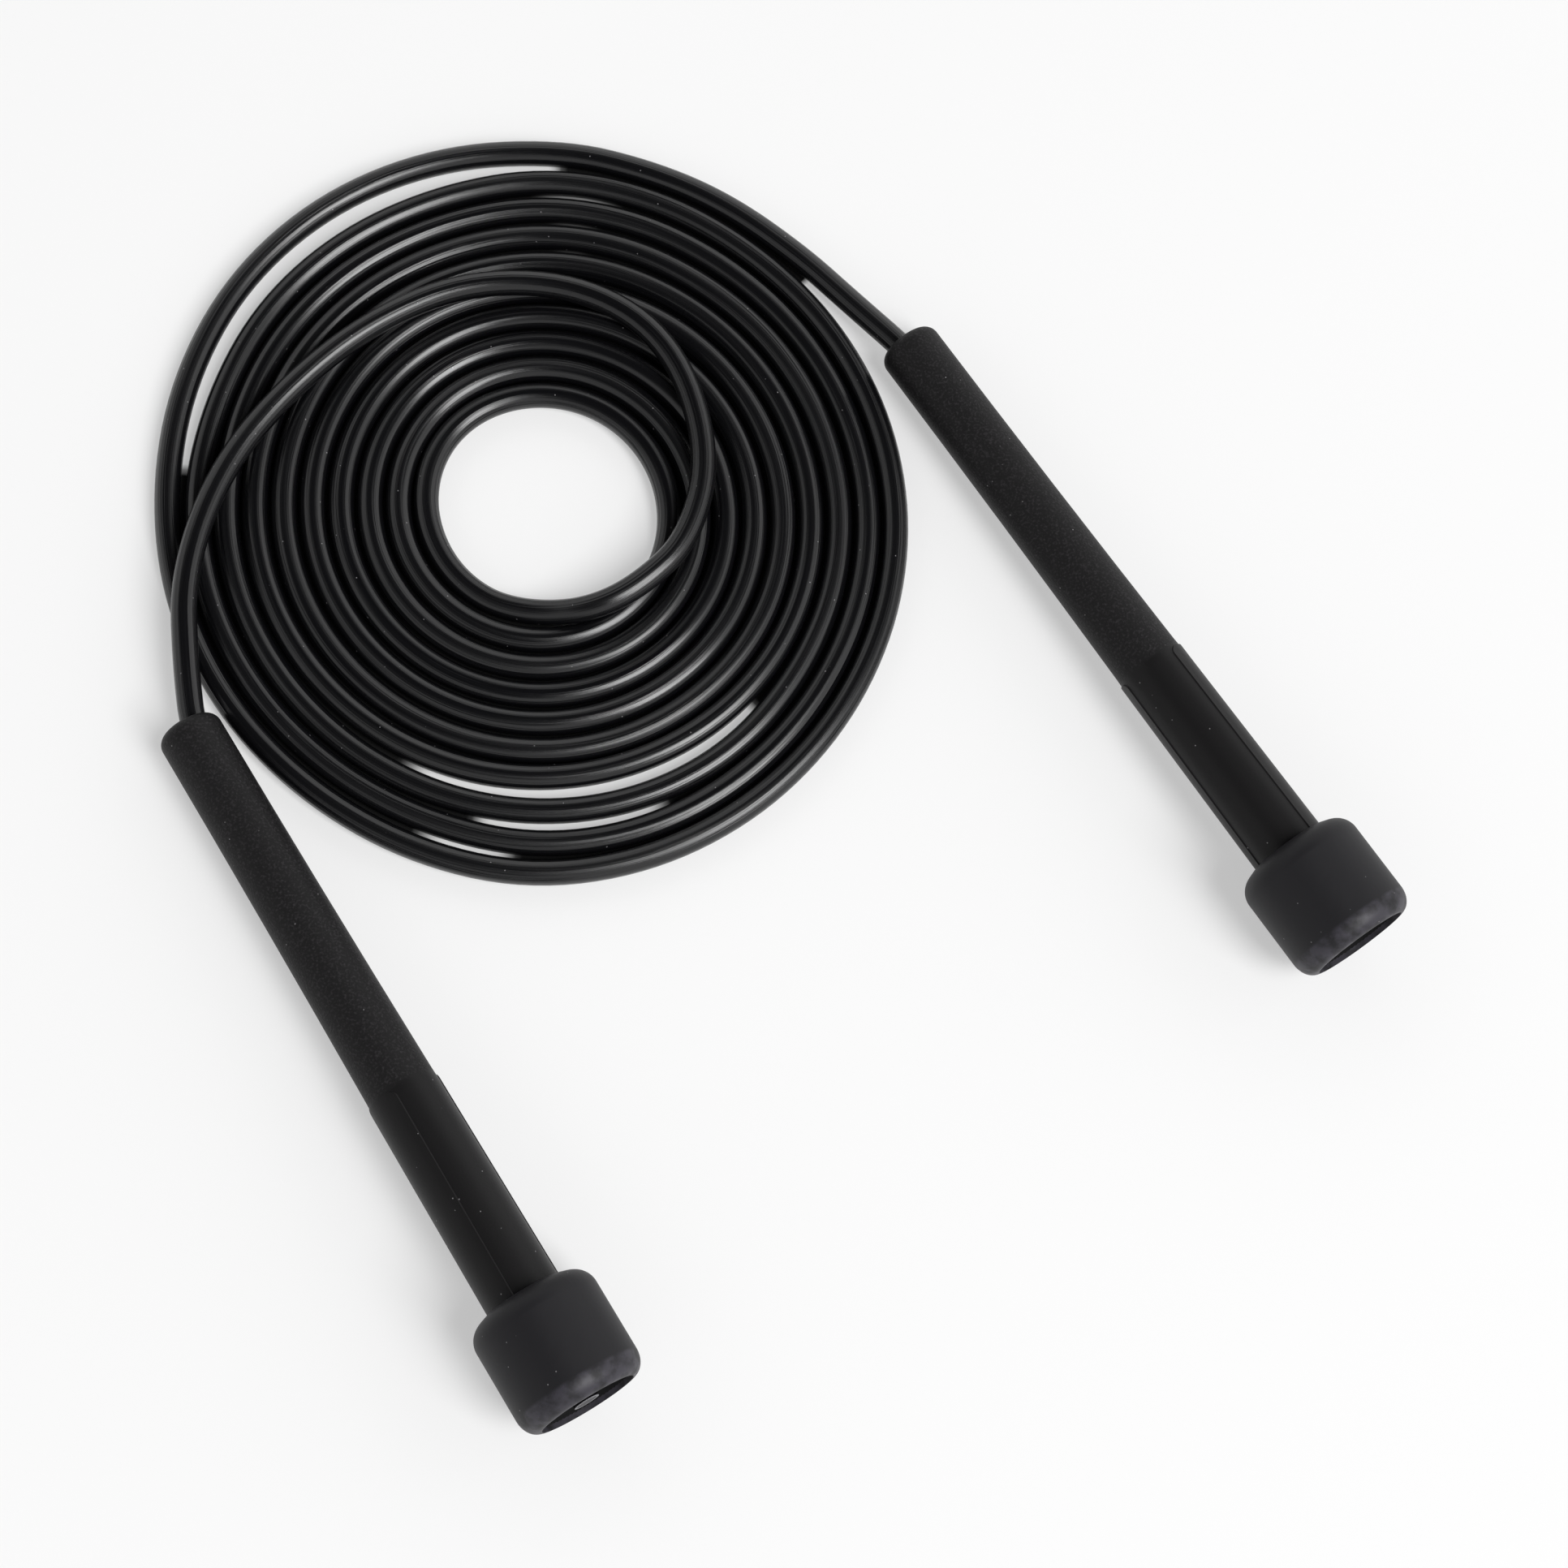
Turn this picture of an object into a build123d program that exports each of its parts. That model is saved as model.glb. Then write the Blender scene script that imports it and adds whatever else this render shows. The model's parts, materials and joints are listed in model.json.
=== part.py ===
"""Jump rope: one length of round plastic cord with two long hollow handles.

Each handle is a tapered grip, thin at the nose where the cord comes out, with a soft round
knob pushed on its barbed end. Inside the grip the cord carries a washer and a ribbed stop
collar, which pull against a shoulder behind the nose, so the handle spins on the cord.
The rope lies stored: its middle is one flat coil, and a lead runs from the coil to each nose.

Millimetres, +Z up, floor at Z = 0. The origin is the middle of the box round both handles.
"""

import os
from dataclasses import dataclass
from math import asin, atan2, cos, hypot, radians, sin, sqrt, tan

from build123d import *

os.makedirs("parts", exist_ok=True)

# ---- cord -----------------------------------------------------------------------------
cord_diameter = 5.0
cord_radius = cord_diameter / 2
stack_gap = 0.2  # air left where the cord crosses over the coil

# ---- grip: stations are measured along the handle's axis from the nose ------------------
handle_length = 148.7
nose_radius = 6.2
nose_round = 2.4
taper_end = 80.5
taper_end_radius = 6.78
barrel_start = 83.5
barrel_start_radius = 6.9
barrel_end_radius = 7.26
barrel_end_round = 0.5

# ---- grip: the way through it ------------------------------------------------------------
throat_clearance = 0.1  # the cord turns in the throat
bell_depth = 11.0
bell_radius = 30.0
throat_length = 3.5
bore_radius = 4.4
core_draft = 0.5  # the bore is this much wider at its open end
cutter_overrun = 1.0  # how far the cutter stands out of the nose

# ---- side panels, raised on the barrel -----------------------------------------------------
panel_start = 82.3
panel_height = 0.22
panel_width = 8.8
panel_corner = 1.6
panel_root = 1.0  # wall of the grip that a panel's blank reaches down into

# ---- knob ----------------------------------------------------------------------------------
knob_length = 22.5
knob_radius = 12.5
knob_front_round = 4.2
knob_front_slope = 20.0
knob_front_lip = 8.3
lip_length = 4.0  # the quarter ellipse from the knob's outside round to its mouth
mouth_depth = 11.0
mouth_radius = 9.5
mouth_draft = 0.5
mouth_floor_round = 0.8
neck_recess = 1.2  # depth of the seat for the barrel's end
seat_clearance = 0.2

# ---- barbed spigot inside the knob ---------------------------------------------------------
spigot_radius = 6.5
barb_start = 3.0  # first crest behind the knob's front
barb_height = 0.6
barb_length = 3.2
barb_pitch = 4.4
barb_count = 2
knob_fit = 0.03
spigot_clearance = 0.3  # the spigot ends this far inside the mouth's floor

# ---- stop collar and washer on the cord -------------------------------------------------------
washer_thickness = 1.0
washer_clearance = 0.3
end_float = 0.2
collar_length = 9.0
collar_radius = 3.7
rib_height = 0.3
rib_width = 1.2
rib_count = 3
cord_fit = 0.02

# ---- coil: the outline of the flat-wound middle of the rope ---------------------------------
coil_centre = (-48.3, 71.9)
coil_half_width = 73.0
coil_half_height = 76.8
coil_eye_centre = (-44.8, 71.6)
eye_half_width = 22.5
eye_half_height = 20.0
coil_edge_round = 2.4

# ---- route of the leads ----------------------------------------------------------------------
lead_in = 12.0  # straight stretch of a lead inside the handle, behind the bend at the nose
arc_share = 0.45  # share of the shorter run that an arc takes at each of its ends


@dataclass
class Handle:
    """Where one handle lies, and how its end of the cord runs."""

    name: str
    nose: tuple  # middle of the nose in plan, as shares of the coil's half sizes
    heading: float  # degrees from +X, from nose to knob
    roll: float  # degrees about the axis that turn the plain front of the barrel off the top
    bend_depth: float  # station where the lead turns off the handle's axis
    tail_recess: float  # how far inside the knob's mouth the cord ends


left = Handle("left", (-0.8875, -0.6315), -58.45, -38.0, 3.7, 0.4)
right = Handle("right", (0.9944, 0.4419), -55.41, 24.0, 5.5, 34.0)

knob_start = handle_length - knob_length
barrel_end = knob_start + neck_recess
mouth_floor = handle_length - mouth_depth
throat_radius = cord_radius + throat_clearance
shoulder = bell_depth + throat_length
grip_end = mouth_floor - spigot_clearance


def resting_tilt():
    """Angle of the axis when the nose's edge and the knob's front edge both touch the floor."""
    along = knob_start + knob_front_round - nose_round
    across = (knob_radius - knob_front_round) - (nose_radius - nose_round)
    return asin((knob_front_round - nose_round) / hypot(along, across)) + atan2(across, along)


tilt = resting_tilt()
nose_height = (nose_radius - nose_round) * cos(tilt) + nose_round - nose_round * sin(tilt)


def on_coil(across, up, height):
    """Point at a height, placed by shares of the coil's half sizes from the coil's centre."""
    x = coil_centre[0] + across * coil_half_width
    y = coil_centre[1] + up * coil_half_height
    return Vector(x, y, height)


def axis_plane(handle):
    """Plane at the nose: Z runs along the axis to the knob, X to the plain front of the barrel."""
    turn = radians(handle.heading)
    along = Vector(cos(turn) * cos(tilt), sin(turn) * cos(tilt), sin(tilt))
    upward = Vector(0, 0, 1) - along * sin(tilt)
    nose = on_coil(*handle.nose, nose_height)
    front = upward.rotate(Axis((0, 0, 0), along), handle.roll)
    return Plane(origin=nose, x_dir=front, z_dir=along)


def profile_plane(handle):
    """Plane through the axis, for outlines drawn as (station, radius)."""
    plane = axis_plane(handle)
    return Plane(origin=plane.origin, x_dir=plane.z_dir, z_dir=plane.y_dir)


def spin_axis(handle):
    """The handle's own axis."""
    plane = axis_plane(handle)
    return Axis(plane.origin, plane.z_dir)


def barb_corners(fit):
    """Corners of the barbs along the spigot, from the front, grown by a fit all round."""
    corners = []
    for number in range(barb_count):
        crest = knob_start + barb_start + number * barb_pitch
        corners.append((crest, spigot_radius + fit))
        corners.append((crest, spigot_radius + barb_height + fit))
        corners.append((crest + barb_length, spigot_radius + fit))
    return corners


def make_grip(handle):
    """Tapered tube with a bell mouth at the nose, raised side panels and a barbed end."""
    profile = profile_plane(handle)
    axis = spin_axis(handle)
    root = barrel_start_radius - panel_root
    with BuildPart() as panels:
        with BuildSketch(profile):
            with BuildLine():
                Polyline(
                    (panel_start, root),
                    (panel_start, barrel_start_radius + panel_height),
                    (barrel_end, barrel_end_radius + panel_height),
                    (barrel_end, root),
                    close=True,
                )
            make_face()
        revolve(axis=axis)
        with BuildSketch(profile.offset(-knob_radius)):
            with Locations(((panel_start + handle_length) / 2, 0)):
                RectangleRounded(handle_length - panel_start, panel_width, panel_corner)
        extrude(amount=2 * knob_radius, mode=Mode.INTERSECT)
    with BuildPart() as grip:
        with BuildSketch(profile):
            with BuildLine():
                nose_edge = RadiusArc(
                    (0, nose_radius - nose_round), (nose_round, nose_radius), nose_round
                )
                taper = TangentArc(nose_edge @ 1, (taper_end, taper_end_radius), tangent=(1, 0))
                barrel = FilletPolyline(
                    taper @ 1,
                    (barrel_start, barrel_start_radius),
                    (barrel_end, barrel_end_radius),
                    (barrel_end, spigot_radius),
                    radius=[0, barrel_end_round],
                )
                spigot = Polyline(barrel @ 1, *barb_corners(0), (grip_end, spigot_radius))
                Polyline(spigot @ 1, (grip_end, 0), (0, 0), nose_edge @ 0)
            make_face()
        revolve(axis=axis)
        add(panels.part)
        with BuildSketch(profile):
            with BuildLine():
                bell_run = bell_depth + cutter_overrun
                rise = bell_radius - sqrt(bell_radius**2 - bell_run**2)
                bell = TangentArc(
                    (bell_depth, throat_radius),
                    (-cutter_overrun, throat_radius + rise),
                    tangent=(-1, 0),
                )
                Polyline(
                    bell @ 0,
                    (shoulder, throat_radius),
                    (shoulder, bore_radius),
                    (handle_length, bore_radius + core_draft),
                    (handle_length, 0),
                    (-cutter_overrun, 0),
                    bell @ 1,
                )
            make_face()
        revolve(axis=axis, mode=Mode.SUBTRACT)
    return grip


def make_knob(handle):
    """Soft cup: rounded front round the barrel, plain cylinder, and a lip falling into the mouth."""
    profile = profile_plane(handle)
    fall = (knob_radius - knob_front_lip) * tan(radians(knob_front_slope))
    lip_start = handle_length - lip_length
    socket_radius = spigot_radius + knob_fit
    seat_end = barrel_end + seat_clearance
    seat_radius = barrel_end_radius + panel_height + seat_clearance
    barbs = barb_corners(knob_fit)
    barbs.reverse()
    with BuildPart() as knob:
        with BuildSketch(profile):
            with BuildLine():
                outside = FilletPolyline(
                    (knob_start, knob_front_lip),
                    (knob_start + fall, knob_radius),
                    (lip_start, knob_radius),
                    radius=knob_front_round,
                )
                EllipticalCenterArc(
                    (lip_start, mouth_radius), lip_length, knob_radius - mouth_radius, arc_size=90
                )
                mouth = FilletPolyline(
                    (handle_length, mouth_radius),
                    (mouth_floor, mouth_radius - mouth_draft),
                    (mouth_floor, socket_radius),
                    radius=mouth_floor_round,
                )
                Polyline(
                    mouth @ 1,
                    *barbs,
                    (seat_end, socket_radius),
                    (seat_end, seat_radius),
                    (knob_start, seat_radius),
                    outside @ 0,
                )
            make_face()
        revolve(axis=spin_axis(handle))
    return knob


def make_ring(handle, corners):
    """A ring round the cord from its outline as (station, radius) corners."""
    with BuildPart() as ring:
        with BuildSketch(profile_plane(handle)):
            with BuildLine():
                Polyline(*corners, close=True)
            make_face()
        revolve(axis=spin_axis(handle))
    return ring


def washer_corners():
    """Flat washer just behind the grip's shoulder."""
    front = shoulder + end_float
    back = front + washer_thickness
    inner = cord_radius + cord_fit
    outer = bore_radius - washer_clearance
    return [(front, inner), (front, outer), (back, outer), (back, inner)]


def collar_corners():
    """Sleeve behind the washer, with grip ribs round it."""
    front = shoulder + end_float + washer_thickness
    back = front + collar_length
    inner = cord_radius + cord_fit
    pitch = collar_length / (rib_count + 1)
    corners = [(back, inner), (front, inner), (front, collar_radius)]
    for number in range(rib_count):
        middle = front + pitch * (number + 1)
        corners.append((middle - rib_width / 2, collar_radius))
        corners.append((middle - rib_width / 4, collar_radius + rib_height))
        corners.append((middle + rib_width / 4, collar_radius + rib_height))
        corners.append((middle + rib_width / 2, collar_radius))
    corners.append((back, collar_radius))
    return corners


def make_tail(handle):
    """Straight end of the cord inside the handle, from the lead to near the knob's mouth."""
    start = handle.bend_depth + lead_in
    end = handle_length - handle.tail_recess
    with BuildPart() as tail:
        with BuildSketch(axis_plane(handle).offset(start)):
            Circle(cord_radius)
        extrude(amount=end - start)
    return tail


def make_coil():
    """Flat slab with the outline of the whole coil and its eye."""
    with BuildPart() as coil:
        with BuildSketch(Plane.XY):
            with Locations(coil_centre):
                Ellipse(coil_half_width, coil_half_height)
            with Locations(coil_eye_centre):
                Ellipse(eye_half_width, eye_half_height, mode=Mode.SUBTRACT)
        extrude(amount=cord_diameter)
        fillet(coil.edges(), radius=coil_edge_round)
    return coil


def lead_points(handle, free_points):
    """Route of a lead: straight inside the handle, then the points where it lies free."""
    plane = axis_plane(handle)
    inside = plane.origin + plane.z_dir * (handle.bend_depth + lead_in)
    bend = plane.origin + plane.z_dir * handle.bend_depth
    return [inside, bend] + [on_coil(*point) for point in free_points]


def arc_radii(points):
    """One radius for each corner, as large as its two runs allow."""
    radii = []
    for before, corner, after in zip(points, points[1:], points[2:]):
        incoming = corner - before
        outgoing = after - corner
        shorter = min(incoming.length, outgoing.length)
        half_turn = radians(incoming.get_angle(outgoing)) / 2
        radii.append(arc_share * shorter / tan(half_turn))
    return radii


def make_lead(points):
    """Round tube along straight runs joined by tangent arcs."""
    radii = arc_radii(points)
    with BuildPart() as lead:
        with BuildLine() as path:
            FilletPolyline(*points, radius=radii)
        with BuildSketch(Plane(origin=path.line @ 0, z_dir=path.line % 0)):
            Circle(cord_radius)
        sweep()
    length = path.wire().length
    print("lead of", round(length, 1), "mm, volume / (section x length)", end=" ")
    print(round(lead.part.volume / (Circle(cord_radius).area * length), 4))
    print("  arc radii", [round(radius, 1) for radius in radii])
    return lead


laid = cord_radius  # height of the cord's centre where it lies on the floor
over = 3 * cord_radius + stack_gap  # the same where it lies on the coil

# From the left nose up on to the coil, round over its middle and down to its innermost turn.
left_route = [
    (-0.892, -0.501, over - 0.7),
    (-0.914, -0.245, over + 0.4),
    (-0.830, 0.035, over),
    (-0.659, 0.263, over),
    (-0.440, 0.452, over),
    (-0.179, 0.569, over),
    (0.129, 0.562, over),
    (0.362, 0.413, over),
    (0.466, 0.120, over),
    (0.412, -0.121, over),
    (0.279, -0.247, over),
    (0.158, -0.306, laid + 4.1),
    (0.032, -0.307, laid + 0.7),
]

# From the right nose down to the floor and along the outermost turn.
right_route = [
    (0.855, 0.552, laid + 2.1),
    (0.712, 0.691, laid + 0.4),
    (0.510, 0.833, laid),
    (0.304, 0.918, laid),
]

pieces = {"rope_coil": make_coil()}
for handle, route in ((left, left_route), (right, right_route)):
    pieces[f"rope_{handle.name}_lead"] = make_lead(lead_points(handle, route))
    pieces[f"{handle.name}_rope_tail"] = make_tail(handle)
    pieces[f"{handle.name}_washer"] = make_ring(handle, washer_corners())
    pieces[f"{handle.name}_stop_collar"] = make_ring(handle, collar_corners())
    pieces[f"{handle.name}_grip"] = make_grip(handle)
    pieces[f"{handle.name}_knob"] = make_knob(handle)

for name, piece in pieces.items():
    piece.part.label = name
    export_step(piece.part, f"parts/{name}.step")
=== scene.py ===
# %% [markdown]
# # A stored jump rope
# This is a speed rope: a good three metres of black PVC cord, 5 mm thick, lying in the flat coil
# that it is stored in. Its ends run into two long hollow handles, each with a soft knob at its end.
# The hard pieces come ready made from the CAD frame, so they keep their real sizes. This lesson
# adds what CAD leaves plain: the cord itself, turn by turn, and the finish of every surface.

# %% Load the frame
import json

import bpy
import numpy as np
from mathutils import Matrix, Vector


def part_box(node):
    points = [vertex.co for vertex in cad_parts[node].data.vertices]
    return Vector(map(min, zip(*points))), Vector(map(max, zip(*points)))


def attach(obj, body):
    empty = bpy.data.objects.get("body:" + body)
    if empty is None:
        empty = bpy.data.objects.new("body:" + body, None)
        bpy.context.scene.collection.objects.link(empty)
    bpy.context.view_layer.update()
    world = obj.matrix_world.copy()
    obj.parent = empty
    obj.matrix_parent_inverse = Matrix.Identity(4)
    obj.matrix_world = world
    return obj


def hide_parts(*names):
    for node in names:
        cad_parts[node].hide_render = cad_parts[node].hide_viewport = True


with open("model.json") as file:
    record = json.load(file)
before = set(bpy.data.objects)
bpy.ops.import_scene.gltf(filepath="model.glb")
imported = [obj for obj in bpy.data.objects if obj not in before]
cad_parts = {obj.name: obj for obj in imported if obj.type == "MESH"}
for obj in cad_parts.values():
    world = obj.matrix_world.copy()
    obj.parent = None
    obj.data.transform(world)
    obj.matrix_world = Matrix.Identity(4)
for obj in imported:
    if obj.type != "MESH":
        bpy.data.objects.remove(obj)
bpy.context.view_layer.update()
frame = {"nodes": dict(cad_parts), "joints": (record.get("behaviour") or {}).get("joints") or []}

MM = 0.001
nodes = frame["nodes"]
print("CAD pieces:", sorted(nodes))

# %% [markdown]
# ## The camera
# The rope is seen from nearly overhead, 16 degrees off the vertical, from a little left of the
# middle of the near side. A long lens keeps the handles parallel-sided. A tracking constraint could
# aim the camera, but from so high up it would also turn the picture. So the camera's own axes are
# worked out by cross products, and the picture stays square with the frame's +Y.

# %% Camera
TARGET = Vector((0.7, 16.1, 0.0)) * MM
DISTANCE = 0.650  # metres
TILT = np.radians(16.0)  # off the vertical
AROUND = np.radians(-105.0)  # from +X
SENSOR, LENS = 36.0, 77.52  # millimetres, as a camera's own data has them

away = Vector((np.sin(TILT) * np.cos(AROUND), np.sin(TILT) * np.sin(AROUND), np.cos(TILT)))
right = Vector((0, 1, 0)).cross(away).normalized()
upward = away.cross(right)
camera_data = bpy.data.cameras.new("camera")
camera_data.sensor_width = SENSOR
camera_data.lens = LENS
camera = bpy.data.objects.new("camera", camera_data)
bpy.context.scene.collection.objects.link(camera)
turned = Matrix((right, upward, away)).transposed().to_4x4()
camera.matrix_world = Matrix.Translation(TARGET + away * DISTANCE) @ turned
bpy.context.scene.camera = camera
print("camera at", [round(value, 3) for value in camera.matrix_world.translation])

# %% [markdown]
# ## Where the cord enters the handles
# A free cord has one smooth centreline. It starts inside the left handle, rides over the coil,
# drops to the innermost turn, winds outwards clockwise for about nine and a half turns, and leaves
# along the outermost turn for the right handle. Both ends lie on the handles' own axes, because a
# handle spins on its cord. They are read from the joints and not written down here, so the cord
# stays in the bores when a handle is moved.

# %% Handle axes and the cord's size
joints = {joint["name"]: joint for joint in frame["joints"]}


def handle_axis(side):
    """The middle of a handle's nose, and the unit vector from the nose to the knob."""
    joint = joints[f"{side}_handle_spin"]
    return np.array(joint["pos_m"]), np.array(joint["axis"]) / np.linalg.norm(joint["axis"])


coil_low, coil_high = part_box("rope_coil")
DIAMETER = coil_high[2] - coil_low[2]
RADIUS = DIAMETER / 2
print("cord diameter", round(DIAMETER / MM, 2), "mm")
for side in ("left", "right"):
    print(side, "nose at", handle_axis(side)[0].round(4), "axis", handle_axis(side)[1].round(3))

# %% [markdown]
# ## The free stretches
# Between a handle and the coil, the cord lies as a hand left it, and no formula gives that. It
# could be dropped by a simulation, but that seldom lands where it is wanted. So each stretch is a
# short list of control points, as shares of the coil's size. The left lead climbs on the coil,
# crosses its turns one cord higher, goes round above the eye and comes down inside it. The right
# lead only peels off the outermost turn and rises to its nose.

# %% Free stretches
LAID = RADIUS  # height of the centreline on the floor
OVER = 3 * RADIUS + 0.2 * MM  # the same on top of the coil
LEAD_IN = 12.0 * MM  # the cord's straight start, inside the handle
BEND_DEPTH = {"left": 3.7 * MM, "right": 5.5 * MM}  # how deep in the nose it starts to bend
coil_middle = (coil_low + coil_high) / 2
coil_half = (coil_high - coil_low) / 2

# Each point is its place across and up, as shares of the coil's half sizes, and its height.
LEFT_ROUTE = [
    (-0.892, -0.501, OVER - 0.7 * MM),
    (-0.914, -0.245, OVER + 0.4 * MM),
    (-0.830, 0.035, OVER),
    (-0.659, 0.263, OVER),
    (-0.440, 0.452, OVER),
    (-0.179, 0.569, OVER),
    (0.129, 0.562, OVER),
    (0.362, 0.413, OVER),
    (0.466, 0.120, OVER),
    (0.412, -0.121, OVER),
    (0.279, -0.247, OVER),
    (0.158, -0.306, LAID + 4.3 * MM),
    (0.032, -0.307, LAID + 0.7 * MM),
]
RIGHT_ROUTE = [
    (0.855, 0.552, LAID + 2.1 * MM),
    (0.712, 0.691, LAID + 0.4 * MM),
    (0.510, 0.833, LAID),
    (0.304, 0.918, LAID),
]


def lead(side, free):
    """Control points of a lead, from inside the handle outwards."""
    nose, axis = handle_axis(side)
    inside = [nose + axis * (BEND_DEPTH[side] + LEAD_IN), nose + axis * BEND_DEPTH[side]]
    outside = []
    for across, up, height in free:
        x = coil_middle[0] + across * coil_half[0]
        y = coil_middle[1] + up * coil_half[1]
        outside.append((x, y, height))
    return np.array([*inside, *outside])


left_lead, right_lead = lead("left", LEFT_ROUTE), lead("right", RIGHT_ROUTE)
print("control points of the leads:", len(left_lead), "and", len(right_lead))

# %% [markdown]
# ## The coil
# A wound cord is a spiral: each turn lies one pitch further out than the last. A bare spiral looks
# machine made, though, because turns that nothing ties spread here and there. So the spiral gets a
# slight oval and some bells, which are smooth bumps in the radius over part of one turn. A bell
# that pushes a turn out opens a gap inside it, where the floor shows through. A formula with
# thirteen bells says this better than two hundred points set by hand.

# %% Coil
# The turns go round a point of their own, near the middle of the coil's box.
CENTRE = np.array([-46.9, 69.9]) * MM
FIRST_RADIUS = 20.05 * MM
PITCH = 5.55 * MM
OVAL = 0.35 * MM  # the coil is this much longer one way, at an angle of 120 degrees
OVAL_ANGLE = 120.0
START_ANGLE = 330.0  # where turn 0 begins, in degrees from +X; the turns run clockwise
FIRST_TURN, LAST_TURN = 81 / 360, 9 + 242 / 360  # the leads take over before and after these
PER_TURN = 20  # control points
# Where a loose turn stands out: turn, angle in degrees, how far, and the degrees that the bell
# takes to rise and to fall.
FANS = [
    (0, 145, 0.50 * MM, 60, 60),
    (5, 85, 0.33 * MM, 30, 30),
    (6, 85, 0.70 * MM, 30, 30),
    (7, 85, 1.08 * MM, 30, 30),
    (8, 85, 1.50 * MM, 30, 30),
    (9, 122, 3.00 * MM, 60, 80),
    (9, 152, 0.30 * MM, 25, 25),
    (8, 162, -0.80 * MM, 20, 25),
    (7, 162, -0.35 * MM, 20, 25),
    (6, 284, -0.36 * MM, 45, 54),
    (7, 302, 1.14 * MM, 25, 91),
    (8, 277, 1.84 * MM, 58, 38),
    (9, 267, 1.92 * MM, 73, 29),
]


def coil_radius(turns):
    """Spiral, oval and bells: first + pitch x turns + oval x cos 2a + the cosine bells' heights."""
    angle = START_ANGLE - 360 * turns
    radius = FIRST_RADIUS + PITCH * turns + OVAL * np.cos(np.radians(2 * (angle - OVAL_ANGLE)))
    for turn, middle, height, before, after in FANS:
        past = 360 * turns - (360 * turn + START_ANGLE - middle)
        share = np.clip(np.where(past < 0, -past / before, past / after), 0, 1)
        radius = radius + height * (1 + np.cos(np.pi * share)) / 2
    return radius


def coil():
    """Control points of the turns: x = radius x cos a, y = radius x sin a, about the centre.

    A quadratic spline cuts inside its corners, so the points are pushed out by as much."""
    turns = np.linspace(FIRST_TURN, LAST_TURN, round((LAST_TURN - FIRST_TURN) * PER_TURN))
    angle = np.radians(START_ANGLE - 360 * turns)
    inside_corner = (3 + np.cos(2 * np.pi / PER_TURN)) / 4
    radius = coil_radius(turns) / inside_corner
    x = CENTRE[0] + radius * np.cos(angle)
    y = CENTRE[1] + radius * np.sin(angle)
    return np.stack([x, y, np.full_like(x, LAID)], axis=1)


route = np.concatenate([left_lead, coil(), right_lead[::-1]])
print("turns", round(LAST_TURN - FIRST_TURN, 2), "control points in all", len(route))

# %% [markdown]
# ## One smooth line
# The whole cord is a single NURBS spline, so it has no joins and no kinks. At order 3 it is made of
# quadratic arcs, which keep close to the control points and never swing past them, as a higher
# order would. The order is set after the points are there: set earlier, it stays at 2, which means
# straight runs. A bevel on the curve would give a plain tube, but this cord needs its own UV map,
# so Blender is only asked for the line, as points.

# %% The spline
curve_data = bpy.data.curves.new("rope_line", "CURVE")
curve_data.dimensions = "3D"
curve_data.resolution_u = 8  # points of the line for each control point
spline = curve_data.splines.new("NURBS")
spline.points.add(len(route) - 1)
spline.points.foreach_set("co", np.c_[route, np.ones(len(route))].ravel())
spline.order_u = 3
spline.use_endpoint_u = True
guide = bpy.data.objects.new("rope_line", curve_data)
line_mesh = bpy.data.meshes.new_from_object(guide)
centreline = np.empty(len(line_mesh.vertices) * 3)
line_mesh.vertices.foreach_get("co", centreline)
centreline = centreline.reshape(-1, 3)
bpy.data.meshes.remove(line_mesh)
bpy.data.objects.remove(guide)
steps = np.linalg.norm(np.diff(centreline, axis=0), axis=1)
along = np.concatenate([[0], np.cumsum(steps)])

# %% [markdown]
# ## The cord's surface
# The tube is a round profile carried along the centreline, square to it at every point. What takes
# care is how the profile turns on the way: if each ring were set by an upward direction, the die
# lines would swing round the cord wherever it climbs. Here each ring is turned as little as can be
# from the last, so this is the one place where the code steps along the line point by point. The
# UV map gives the share of the way round the cord and metres along it, so the material can draw
# lines that follow it.

# %% Sweep a profile along a line
TINY = 1e-18  # keeps a straight step from dividing by zero


def carried_frames(line):
    """Two unit vectors across the line at each point, made by the double reflection method.

    Each step mirrors the last vector in the plane half way between two points, and again in the
    plane half way between the mirrored tangent and the new one."""
    tangent = np.gradient(line, axis=0)
    tangent /= np.linalg.norm(tangent, axis=1)[:, None]
    side = np.cross(tangent[0], (0.0, 0.0, 1.0))
    side /= np.linalg.norm(side)
    sides = [side]
    for i in range(len(line) - 1):
        first = line[i + 1] - line[i]
        scale = first @ first
        mirrored_side = sides[-1] - 2 * (first @ sides[-1]) / scale * first
        mirrored_tangent = tangent[i] - 2 * (first @ tangent[i]) / scale * first
        second = tangent[i + 1] - mirrored_tangent
        scale = max(second @ second, TINY)
        sides.append(mirrored_side - 2 * (second @ mirrored_side) / scale * second)
    sides = np.array(sides)
    return sides, np.cross(tangent, sides)


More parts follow.
